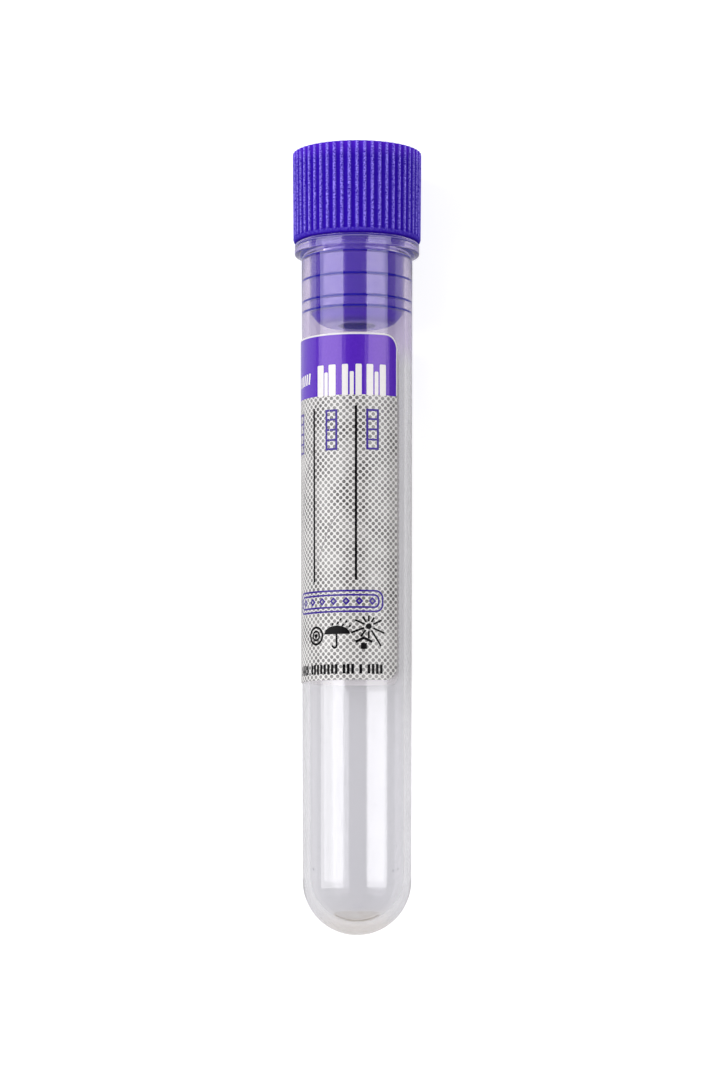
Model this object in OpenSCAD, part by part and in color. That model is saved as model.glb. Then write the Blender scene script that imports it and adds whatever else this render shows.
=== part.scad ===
// Blood collection tube, 12 x 75 mm, with a fluted push-in stopper, lying at rest on its side.
// Each piece is drawn upright, with the bottom of the tube at z = 0 and its front towards -x.
// at_rest() then lays it down: the tube bottom and two flutes of the stopper touch z = 0,
// the stopper points to +x, and the origin is on the surface, under the middle of the whole.

/* [Tube] */
// Length of the tube from its round bottom to its rim
tube_len = 75; // [60:1:100]
// Outside diameter of the tube at its rim, without the collar
mouth_od = 12.13; // [11:0.01:16]
// Draft of the outside wall, on each side, in degrees
draft = 0.2; // [0.05:0.01:0.4]
// Thickness of the side wall
wall = 0.8; // [0.6:0.05:1.2]
// Thickness of the bottom of the bowl
bowl_wall = 1.2; // [0.6:0.05:1.5]
// Chamfer inside the rim, which leads the plug in
lead_in = 0.25; // [0.1:0.05:0.4]

/* [Collar] */
// Step of the collar out from the wall
collar_step = 0.74; // [0.5:0.01:1.5]
// Height of the collar, from the rim to where its sloped underside meets the wall
collar_h = 1.7; // [1.2:0.05:3]
// Slope of the collar's underside
collar_slope = 30; // [5:1:45]
// Radius of the collar's lower edge
collar_edge = 0.25; // [0.1:0.05:0.4]

/* [Stopper head] */
// Height of the head above the rim
head_h = 10; // [7:0.1:14]
// Overhang of the flutes' crests past the collar, at the underside
head_overhang = 0.15; // [0.05:0.01:1]
// Growth of the head's radius from its underside to its top
head_flare = 0.1; // [0:0.01:0.3]
// Height of the plain band below the flutes
band_h = 0.45; // [0.4:0.05:1.2]
// Radius of the band's lower edge
band_edge = 0.35; // [0.1:0.05:0.4]
// Wall of the head between the flutes and the cup
head_wall = 1.15; // [0.8:0.05:1.8]
// Thickness of the web between the cup and the rim of the tube
head_web = 1.3; // [0.8:0.1:2.5]
// Chamfer of the head's top edge
top_chamfer = 0.15; // [0.05:0.05:0.3]

/* [Flutes] */
// Number of flutes round the head
flute_count = 52; // [30:1:62]
// Radius of each flute, which stands out by as much
flute_r = 0.22; // [0.15:0.01:0.33]
// Height by which the crests stand proud of the plain band
flute_proud = 0.03; // [0.02:0.01:0.1]

/* [Plug] */
// Length of the plug below the rim
plug_len = 9.1; // [7:0.1:14]
// Height of the tapered end of the plug
nose_h = 1.4; // [1:0.1:2]
// Slope of the tapered end, from the axis, in degrees
nose_slope = 37; // [25:1:45]
// Radius between the tapered end and its flat face
nose_edge = 1.8; // [0.5:0.1:2]
// Gap between the plug's core and the bore
core_gap = 0.13; // [0.08:0.01:0.25]
// Height of the full seat at the root of the plug
root_h = 1.7; // [0.8:0.1:2]
// Heights of the sealing lips above the tapered end
lip_heights = [0, 1.15, 3.55]; // [0:0.05:5]
// Width of each sealing lip at its root
lip_w = 0.4; // [0.2:0.05:0.6]
// Wall of the plug round its well
plug_wall = 1.3; // [0.9:0.05:2]
// Thickness of the plug's end below the well
plug_floor = 1.3; // [1:0.05:2]
// Radius of the gate dimple in the flat face
dimple_r = 2.05; // [1:0.05:2.5]
// Depth of the gate dimple
dimple_d = 0.4; // [0.2:0.05:0.5]
// Running clearance of the lips and the root in the bore
fit = 0.03; // [0.01:0.01:0.08]

/* [Label] */
// Width of the label round the tube
label_w = 30; // [20:0.5:34]
// Height of the label
label_h = 37.2; // [20:0.1:45]
// Distance from the rim to the label's top edge
label_drop = 10.8; // [9:0.1:15]
// Angle from the front of the tube to the label's free edge, in degrees
label_edge_at = 45; // [0:1:90]
// Thickness of the label
label_t = 0.1; // [0.06:0.01:0.2]
// Radius of the label's corners
label_corner = 1.6; // [0.5:0.1:3]

/* [Additive] */
// Radius of the dried film in the bowl
film_r = 2.6; // [1.5:0.1:4]
// Thickness of the dried film
film_t = 0.2; // [0.1:0.05:0.4]

/* [Hidden] */
$fn = 96;
small_fn = 32;
eps = 0.01;

// Films and the label lie this far off the wall that carries them.
glue = 0.02;

// Tube wall
mouth_r = mouth_od / 2;
base_r = (mouth_r - tube_len * tan(draft)) / (1 - tan(draft));
bowl_r = base_r - wall;
bowl_z = bowl_wall + bowl_r;
bore_mouth_r = mouth_r - wall;
collar_r = mouth_r + collar_step;
collar_low = tube_len - collar_h;
collar_tangent = collar_edge * tan((90 - collar_slope) / 2);

// Radius of the outside wall at height z
function wall_r(z) = base_r + (mouth_r - base_r) * (z - base_r) / (tube_len - base_r);
// Radius of the bore at height z
function bore_r(z) = bowl_r + (bore_mouth_r - bowl_r) * (z - bowl_z) / (tube_len - bowl_z);

// Head: the crests' radius at the underside and the top, and the valleys between them
crest_r = collar_r + head_overhang;
crest_top_r = crest_r + head_flare;
valley_r = crest_r - flute_r;
valley_top_r = crest_top_r - flute_r;
band_r = crest_r - flute_proud;
flute_lean = atan(head_flare / head_h);
cup_r = valley_r - head_wall;
cup_top_r = valley_top_r - head_wall;
core_draft = 1;

// Plug: heights are from the tube's bottom
seat_z = tube_len;
tip_z = seat_z - plug_len;
nose_z = tip_z + nose_h;
nose_top_r = bore_r(nose_z) - core_gap;
tip_r = nose_top_r - nose_h * tan(nose_slope);
nose_tangent = nose_edge * tan((90 - nose_slope) / 2);
nose_edge_x = tip_r - nose_tangent;
nose_edge_z = tip_z + nose_edge;
well_floor_z = tip_z + plug_floor;
well_top_z = seat_z + head_web;
well_r = bore_r(seat_z) - core_gap - plug_wall;
well_floor_r = well_r - (well_top_z - well_floor_z) * tan(core_draft);
well_edge = 0.6;

// Rest: the angle at which the bottom of the tube and two flutes touch one plane
half_pitch = 180 / flute_count;
foot_z = seat_z + band_h;
foot_r = (valley_r + band_h * tan(flute_lean)) * cos(half_pitch);
rest_tilt = acos((base_r - flute_r) / norm([foot_r, foot_z - base_r])) - atan2(foot_z - base_r, foot_r);
reach = (seat_z + head_h) * cos(rest_tilt) + (crest_top_r - top_chamfer) * sin(rest_tilt);
tail = base_r * (cos(rest_tilt) - 1);
rest_x = -(reach + tail) / 2;
rest_z = base_r * (1 - sin(rest_tilt));

// Label: the angle it covers, and the angle at which it starts, from +x
label_z = tube_len - label_drop - label_h;
label_mid_r = wall_r(label_z + label_h / 2) + glue;
label_span = label_w / label_mid_r * 180 / PI;
label_from = 180 + label_edge_at - label_span;
// The corners' arcs cross the edges by 0.02, so that they don't merely touch them.
corner_in = label_corner - 0.02;

// Lays an upright piece down at rest, on two flutes
module at_rest() {
    translate([rest_x, 0, rest_z])
        rotate([0, 90 - rest_tilt, 0])
            rotate([0, 0, half_pitch])
                children();
}

// Half outline of a round bottom of radius r, whose centre is at height z
module round_end(r, z) {
    intersection() {
        translate([0, z]) circle(r);
        translate([0, z - r]) square([r, r]);
    }
}

// Half outline of the outside of the tube, with its collar
module tube_outside() {
    round_end(base_r, base_r);
    polygon([[0, base_r], [base_r, base_r], [mouth_r, tube_len], [0, tube_len]]);
    corner = collar_low + (collar_r - wall_r(collar_low)) * tan(collar_slope);
    edge_z = corner + collar_tangent;
    polygon([
        [0, collar_low],
        [wall_r(collar_low), collar_low],
        [collar_r - collar_tangent * cos(collar_slope), corner - collar_tangent * sin(collar_slope)],
        [collar_r, edge_z],
        [collar_r, tube_len],
        [0, tube_len]
    ]);
    translate([collar_r - collar_edge, edge_z]) circle(collar_edge, $fn = small_fn);
}

// Half outline of the bore, with its lead-in chamfer
module tube_bore() {
    round_end(bowl_r, bowl_z);
    polygon([
        [0, bowl_z],
        [bowl_r, bowl_z],
        [bore_r(tube_len - lead_in), tube_len - lead_in],
        [bore_mouth_r + lead_in, tube_len],
        [bore_mouth_r + lead_in, tube_len + eps],
        [0, tube_len + eps]
    ]);
}

module tube() {
    color([0.86, 0.87, 0.90, 0.45])
        rotate_extrude()
            difference() {
                tube_outside();
                tube_bore();
            }
}

// One flute: a rod with a round lower end, which stands on the valley's surface
module flute() {
    length = (head_h - band_h) / cos(flute_lean) + eps;
    translate([valley_r + band_h * tan(flute_lean), 0, seat_z + band_h])
        rotate([0, flute_lean, 0])
            rotate_extrude($fn = small_fn) {
                square([flute_r, length]);
                round_end(flute_r, 0);
            }
}

// Half outline of the head without its flutes: the plain band, its slope and the valleys' cone
module head_outline() {
    slope_top = band_h + flute_r - flute_proud;
    translate([0, seat_z]) {
        polygon([
            [0, 0],
            [band_r - band_edge, 0],
            [band_r - band_edge, band_edge],
            [band_r, band_edge],
            [band_r, band_h],
            [valley_r + slope_top * tan(flute_lean), slope_top],
            [valley_top_r, head_h],
            [0, head_h]
        ]);
        translate([band_r - band_edge, band_edge]) circle(band_edge, $fn = small_fn);
    }
}

// The corner that the top chamfer takes off the flutes and the head
module top_edge() {
    rotate_extrude()
        translate([crest_top_r, seat_z + head_h])
            polygon([[-top_chamfer, 0], [1, -top_chamfer - 1], [1, 1], [-top_chamfer, 1]]);
}

// Half outline of the plug, with its tapered end rounded into the flat face
module plug_outline() {
    polygon([
        [0, tip_z],
        [nose_edge_x, tip_z],
        [nose_edge_x, nose_edge_z],
        [tip_r + nose_tangent * sin(nose_slope), tip_z + nose_tangent * cos(nose_slope)],
        [nose_top_r, nose_z],
        [bore_r(seat_z) - core_gap, seat_z + eps],
        [0, seat_z + eps]
    ]);
    intersection() {
        translate([nose_edge_x, nose_edge_z]) circle(nose_edge);
        polygon([
            [nose_edge_x, nose_edge_z],
            [nose_edge_x, tip_z],
            [tip_r, tip_z],
            [tip_r + nose_tangent * sin(nose_slope), tip_z + nose_tangent * cos(nose_slope)]
        ]);
    }
}

// Half outline of a sealing lip at height z: a low ridge whose crest runs in the bore
module lip_outline(z) {
    core = bore_r(z) - core_gap;
    crest = bore_r(z) - fit;
    polygon([[core - eps, z - lip_w / 2], [crest, z], [core - eps, z + lip_w / 2]]);
}

// Half outline of the full seat at the root of the plug
module root_outline() {
    low = seat_z - root_h;
    polygon([
        [0, low - core_gap],
        [bore_r(low) - core_gap, low - core_gap],
        [bore_r(low) - fit, low],
        [bore_r(seat_z) - fit, seat_z],
        [0, seat_z]
    ]);
}

// Half outline of the hollow in the stopper: the cup in the head, and the well in the plug
module hollow_outline() {
    top = seat_z + head_h;
    polygon([[0, well_top_z], [cup_r, well_top_z], [cup_top_r, top], [cup_top_r, top + eps], [0, top + eps]]);
    polygon([
        [0, well_floor_z],
        [well_floor_r - well_edge, well_floor_z],
        [well_floor_r - well_edge, well_floor_z + well_edge],
        [well_floor_r, well_floor_z + well_edge],
        [well_r, well_top_z + eps],
        [0, well_top_z + eps]
    ]);
    translate([well_floor_r - well_edge, well_floor_z + well_edge]) circle(well_edge, $fn = small_fn);
}

module stopper() {
    color([0.30, 0.16, 0.66])
        difference() {
            union() {
                rotate_extrude() {
                    head_outline();
                    plug_outline();
                    root_outline();
                    for (h = lip_heights) lip_outline(nose_z + h);
                }
                for (i = [0 : flute_count - 1])
                    rotate([0, 0, i * 360 / flute_count]) flute();
            }
            rotate_extrude() hollow_outline();
            top_edge();
            translate([0, 0, tip_z - eps]) cylinder(dimple_d + eps, dimple_r, dimple_r - dimple_d / 2);
        }
}

// Rounds one corner of the label: side is -1 or 1 round the tube, end is -1 or 1 along it
module corner_cut(side, end) {
    angle = side < 0 ? label_from : label_from + label_span;
    z = end < 0 ? label_z : label_z + label_h;
    rotate([0, 0, angle])
        translate([label_mid_r - 1, 0, z])
            rotate([90, 0, 90])
                linear_extrude(2)
                    translate([-side * corner_in, -end * corner_in])
                        mirror([side < 0 ? 1 : 0, 0])
                            mirror([0, end < 0 ? 1 : 0])
                                difference() {
                                    square(label_corner + 1);
                                    circle(label_corner);
                                }
}

module label() {
    top = label_z + label_h;
    color([0.93, 0.93, 0.95])
        difference() {
            rotate([0, 0, label_from])
                rotate_extrude(angle = label_span)
                    polygon([
                        [wall_r(label_z) + glue, label_z],
                        [wall_r(label_z) + glue + label_t, label_z],
                        [wall_r(top) + glue + label_t, top],
                        [wall_r(top) + glue, top]
                    ]);
            for (side = [-1, 1], end = [-1, 1]) corner_cut(side, end);
        }
}

module additive_film() {
    color([0.90, 0.88, 0.62, 0.6])
        rotate_extrude()
            intersection() {
                difference() {
                    round_end(bowl_r - glue, bowl_z);
                    translate([0, bowl_z + film_t]) circle(bowl_r - glue);
                }
                square([film_r, bowl_z]);
            }
}

at_rest() tube();
at_rest() stopper();
at_rest() label();
at_rest() additive_film();
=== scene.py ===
"""Stoppered blood collection tube: its looks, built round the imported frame."""

import logging
import math
import random
from dataclasses import dataclass
from enum import Enum
from typing import Callable, Dict, List, Optional, Sequence, Tuple, Union

import bpy
from mathutils import Matrix, Vector


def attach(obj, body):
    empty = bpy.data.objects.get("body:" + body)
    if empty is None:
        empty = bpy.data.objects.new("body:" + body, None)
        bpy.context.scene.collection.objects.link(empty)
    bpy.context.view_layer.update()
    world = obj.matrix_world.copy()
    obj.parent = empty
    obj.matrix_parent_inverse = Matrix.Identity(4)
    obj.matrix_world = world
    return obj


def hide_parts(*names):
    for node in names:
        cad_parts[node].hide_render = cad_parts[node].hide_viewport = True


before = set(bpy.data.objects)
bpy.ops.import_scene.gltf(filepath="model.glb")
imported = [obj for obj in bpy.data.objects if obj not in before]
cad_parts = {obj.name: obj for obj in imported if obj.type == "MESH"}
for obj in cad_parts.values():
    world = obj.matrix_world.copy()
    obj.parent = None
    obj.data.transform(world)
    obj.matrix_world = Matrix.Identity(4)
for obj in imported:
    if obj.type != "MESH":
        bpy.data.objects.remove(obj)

log = logging.getLogger("tube")
MM = 0.001
# Size of the plane that a section or a sheet is drawn from.
SEED = 0.1 * MM
WHITE = "FFFFFF"
# How far up its own UV map the bare back of the label is moved, in millimetres, so that no print lands on it.
BACK_LIFT = 100.0
Point = Tuple[float, float, float]
Socket = bpy.types.NodeSocket
Inputs = Union[Sequence[object], Dict[object, object]]


# ---------------------------------------------------------------- selecting and editing


def leave_edit() -> None:
    """Puts every object back in object mode with nothing selected."""
    if bpy.context.object is not None and bpy.context.object.mode != "OBJECT":
        bpy.ops.object.mode_set(mode="OBJECT")
    bpy.ops.object.select_all(action="DESELECT")


def choose(obj: bpy.types.Object) -> None:
    """Selects one object, and no other, in object mode.

    Args:
        obj: the object.
    """
    leave_edit()
    obj.select_set(True)
    bpy.context.view_layer.objects.active = obj


def edit(obj: bpy.types.Object) -> None:
    """Opens one object, and no other, in edit mode, with the whole of it selected.

    Args:
        obj: the object to edit.
    """
    choose(obj)
    bpy.ops.object.mode_set(mode="EDIT")
    bpy.ops.mesh.select_mode(type="VERT")
    bpy.ops.mesh.select_all(action="SELECT")


def settle(obj: bpy.types.Object) -> None:
    """Moves an object's place, turn and scale into its mesh, and leaves it unselected.

    Args:
        obj: the object.
    """
    choose(obj)
    bpy.ops.object.transform_apply(location=True, rotation=True, scale=True)
    leave_edit()


def adopt(name: str) -> bpy.types.Object:
    """Names the object that an operator has just added, and settles it.

    Args:
        name: the piece's name.

    Returns:
        The object.
    """
    obj = bpy.context.object
    obj.name = obj.data.name = name
    settle(obj)
    return obj


def pick(obj: bpy.types.Object, wanted: Callable[[Vector], bool]) -> None:
    """Selects the vertices of the object in edit mode whose place passes a test.

    Args:
        obj: the object in edit mode.
        wanted: the test of a vertex's place.
    """
    bpy.ops.object.mode_set(mode="OBJECT")
    mesh = obj.data
    chosen = [wanted(v.co) for v in mesh.vertices]
    mesh.vertices.foreach_set("select", chosen)
    mesh.edges.foreach_set("select", [chosen[a] and chosen[b] for a, b in (e.vertices for e in mesh.edges)])
    mesh.polygons.foreach_set("select", [all(chosen[i] for i in f.vertices) for f in mesh.polygons])
    bpy.ops.object.mode_set(mode="EDIT")


def new_piece(name: str, at: Point) -> bpy.types.Object:
    """Adds a small plane at a place, for a sheet or an outline to start from.

    Args:
        name: the piece's name.
        at: the plane's centre.

    Returns:
        The new object, in object mode, unturned, at the origin.
    """
    leave_edit()
    bpy.ops.mesh.primitive_plane_add(size=SEED, location=at)
    return adopt(name)


class Section:
    """A half section in the x-z plane, drawn from one point by extruding and turning it."""

    def __init__(self, name: str, x: float, z: float) -> None:
        """Starts the section.

        Args:
            name: the name of the piece that the section becomes.
            x: the first point's radius.
            z: the first point's height.
        """
        self.obj = new_piece(name, (x, 0, z))
        self.x, self.z = x, z
        edit(self.obj)
        bpy.ops.mesh.merge(type="CENTER")

    def to(self, x: float, z: float) -> "Section":
        """Draws a straight line to a point.

        Args:
            x: the point's radius.
            z: its height.

        Returns:
            The section.
        """
        step = (x - self.x, 0, z - self.z)
        bpy.ops.mesh.extrude_region_move(TRANSFORM_OT_translate={"value": step})
        self.x, self.z = x, z
        return self

    def along(self, x: float, z: float, parts: int) -> "Section":
        """Draws a straight line to a point in equal parts.

        Args:
            x: the point's radius.
            z: its height.
            parts: the number of parts.

        Returns:
            The section.
        """
        x0, z0 = self.x, self.z
        for i in range(1, parts + 1):
            self.to(x0 + (x - x0) * i / parts, z0 + (z - z0) * i / parts)
        return self

    def turn(self, cx: float, cz: float, degrees: float, steps: int) -> "Section":
        """Draws an arc round a centre; a positive angle runs from below the centre towards +x.

        Args:
            cx: the centre's radius.
            cz: the centre's height.
            degrees: the angle turned.
            steps: the number of straight parts.

        Returns:
            The section.
        """
        a = math.radians(degrees)
        bpy.ops.mesh.spin(steps=steps, angle=a, center=(cx, 0, cz), axis=(0, 1, 0))
        dx, dz = self.x - cx, self.z - cz
        self.x = cx + dx * math.cos(a) - dz * math.sin(a)
        self.z = cz + dx * math.sin(a) + dz * math.cos(a)
        return self

    def spin(self, steps: int, angle: float = 2 * math.pi) -> bpy.types.Object:
        """Spins the finished section about the axis and closes its seam and poles.

        Args:
            steps: the number of steps.
            angle: the angle spun, in radians.

        Returns:
            The piece, in object mode.
        """
        bpy.ops.mesh.select_all(action="SELECT")
        # The operator turns clockwise about its axis, so the axis points down.
        bpy.ops.mesh.spin(steps=steps, angle=angle, center=(0, 0, 0), axis=(0, 0, -1))
        close_shell()
        leave_edit()
        return self.obj


def close_shell() -> None:
    """Merges what meets on the object in edit mode and turns its faces outwards."""
    bpy.ops.mesh.select_all(action="SELECT")
    bpy.ops.mesh.remove_doubles(threshold=0.0005 * MM)
    bpy.ops.mesh.delete_loose(use_verts=True, use_edges=True, use_faces=False)
    bpy.ops.mesh.select_all(action="SELECT")
    bpy.ops.mesh.normals_make_consistent(inside=False)


def smooth(obj: bpy.types.Object, degrees: float) -> None:
    """Shades a piece smooth, apart from edges sharper than an angle.

    Args:
        obj: the piece.
        degrees: the angle.
    """
    choose(obj)
    bpy.ops.object.shade_smooth_by_angle(angle=math.radians(degrees))
    leave_edit()


# ---------------------------------------------------------------- sizes and rest


@dataclass(frozen=True)
class TubeSize:
    """Sizes of the tube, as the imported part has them, in metres and radians."""

    length: float = 75 * MM
    mouth_r: float = 6.065 * MM
    draft: float = math.radians(0.2)
    wall: float = 0.8 * MM
    bowl_wall: float = 1.2 * MM
    lead_in: float = 0.25 * MM
    collar_step: float = 0.74 * MM
    collar_h: float = 1.7 * MM
    collar_slope: float = math.radians(30)
    collar_edge: float = 0.25 * MM

    @property
    def base_r(self) -> float:
        """Outside radius of the round bottom."""
        return (self.mouth_r - self.length * math.tan(self.draft)) / (1 - math.tan(self.draft))

    @property
    def bowl_r(self) -> float:
        """Radius of the bowl."""
        return self.base_r - self.wall

    @property
    def bowl_z(self) -> float:
        """Height of the bowl's centre."""
        return self.bowl_wall + self.bowl_r

    @property
    def collar_r(self) -> float:
        """Radius of the collar."""
        return self.mouth_r + self.collar_step

    def wall_r(self, z: float) -> float:
        """Radius of the outside wall at a height."""
        return self.base_r + (self.mouth_r - self.base_r) * (z - self.base_r) / (self.length - self.base_r)

    def bore_r(self, z: float) -> float:
        """Radius of the bore at a height."""
        mouth = self.mouth_r - self.wall
        return self.bowl_r + (mouth - self.bowl_r) * (z - self.bowl_z) / (self.length - self.bowl_z)


@dataclass(frozen=True)
class HeadSize:
    """Sizes of the stopper's head and flutes."""

    height: float = 10 * MM
    overhang: float = 0.15 * MM
    flare: float = 0.1 * MM
    band_h: float = 0.45 * MM
    band_edge: float = 0.35 * MM
    wall: float = 1.15 * MM
    web: float = 1.3 * MM
    top_edge: float = 0.15 * MM
    flutes: int = 52
    flute_r: float = 0.22 * MM
    proud: float = 0.03 * MM


@dataclass(frozen=True)
class Rest:
    """How the upright part is laid down: on its round bottom and two flutes."""

    tube: TubeSize
    head: HeadSize

    @property
    def half_pitch(self) -> float:
        """Half the angle from one flute to the next."""
        return math.pi / self.head.flutes

    @property
    def tilt(self) -> float:
        """Works out how far the tube leans when it touches the surface at its foot and two flutes.

        Returns:
            The angle between the axis and the surface.
        """
        t, h = self.tube, self.head
        valley = t.collar_r + h.overhang - h.flute_r
        lean = h.flare / h.height
        foot_z = t.length + h.band_h
        foot_r = (valley + h.band_h * lean) * math.cos(self.half_pitch)
        up = foot_z - t.base_r
        return math.acos((t.base_r - h.flute_r) / math.hypot(foot_r, up)) - math.atan2(up, foot_r)

    @property
    def matrix(self) -> Matrix:
        """Works out how the upright part is laid down, with its middle over the origin.

        Returns:
            The move from the upright part to the row frame.
        """
        t, h = self.tube, self.head
        top_r = t.collar_r + h.overhang + h.flare - h.top_edge
        reach = (t.length + h.height) * math.cos(self.tilt) + top_r * math.sin(self.tilt)
        tail = t.base_r * (math.cos(self.tilt) - 1)
        place = Matrix.Translation((-(reach + tail) / 2, 0, t.base_r * (1 - math.sin(self.tilt))))
        lean = Matrix.Rotation(math.pi / 2 - self.tilt, 4, "Y")
        return place @ lean @ Matrix.Rotation(self.half_pitch, 4, "Z")


TUBE = TubeSize()
HEAD = HeadSize()
REST = Rest(TUBE, HEAD)


def lay_down(obj: bpy.types.Object, turned: float = 0.0) -> bpy.types.Object:
    """Lays an upright piece down at rest, with its place in its mesh.

    Args:
        obj: the piece, drawn upright.
        turned: an angle about the tube's axis to turn it by first.

    Returns:
        The piece.
    """
    obj.matrix_world = REST.matrix @ Matrix.Rotation(turned, 4, "Z")
    settle(obj)
    return obj


# ---------------------------------------------------------------- finishes


def linear(hex_colour: str) -> Tuple[float, float, float, float]:
    """Turns an sRGB hex colour to linear.

    Args:
        hex_colour: six hex digits.

    Returns:
        The linear colour, with an alpha of 1.
    """
    parts = [int(hex_colour[i : i + 2], 16) / 255 for i in (0, 2, 4)]
    r, g, b = (c / 12.92 if c <= 0.04045 else ((c + 0.055) / 1.055) ** 2.4 for c in parts)
    return (r, g, b, 1.0)


class Graph:
    """A material's or the world's node graph."""

    def __init__(self, tree: bpy.types.NodeTree) -> None:
        """Empties the tree.

        Args:
            tree: the node tree.
        """
        self.tree = tree
        tree.nodes.clear()

    def add(self, kind: str, inputs: Inputs = (), out: Union[int, str] = 0, **settings: object) -> Optional[Socket]:
        """Adds a node with its settings and links, and gives one of its outputs.

        Args:
            kind: the node's type, without the word that all of them start with.
            inputs: a value, a hex colour or a socket for each input, in their order or as a dict by name or number.
            out: the name or number of the output to give.
            **settings: the node's own properties.

        Returns:
            The output, or nothing where the node has none.
        """
        node = self.tree.nodes.new("ShaderNode" + kind)
        for name, value in settings.items():
            setattr(node, name, value)
        given = inputs if isinstance(inputs, dict) else dict(enumerate(inputs))
        for key, value in given.items():
            socket = node.inputs[key]
            if isinstance(value, Socket):
                self.tree.links.new(value, socket)
            else:
                socket.default_value = linear(value) if isinstance(value, str) else value
        return node.outputs[out] if node.outputs else None


def new_material(name: str) -> Tuple[bpy.types.Material, Graph]:
    """Makes an empty node material.

    Args:
        name: its name.

    Returns:
        The material and its graph.
    """
    material = bpy.data.materials.new(name)
    material.use_nodes = True
    return material, Graph(material.node_tree)


def upright(g: Graph) -> Socket:
    """Gives the place on a piece at rest as if the tube stood on its round bottom, with its axis as z.

    Args:
        g: the material's graph.

    Returns:
        The place, in metres.
    """
    m = REST.matrix
    inputs = {"Vector": g.add("TexCoord", out="Object"), "Location": m.translation, "Rotation": m.to_euler()}
    return g.add("Mapping", inputs, vector_type="TEXTURE")


def off_axis(g: Graph, place: Socket) -> Socket:
    """Gives the distance of an upright place from the tube's axis.

    Args:
        g: the material's graph.
        place: the upright place.

    Returns:
        The distance, in metres.
    """
    across = g.add("VectorMath", (place, (1, 1, 0)), operation="MULTIPLY")
    return g.add("VectorMath", (across,), "Value", operation="LENGTH")


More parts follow.
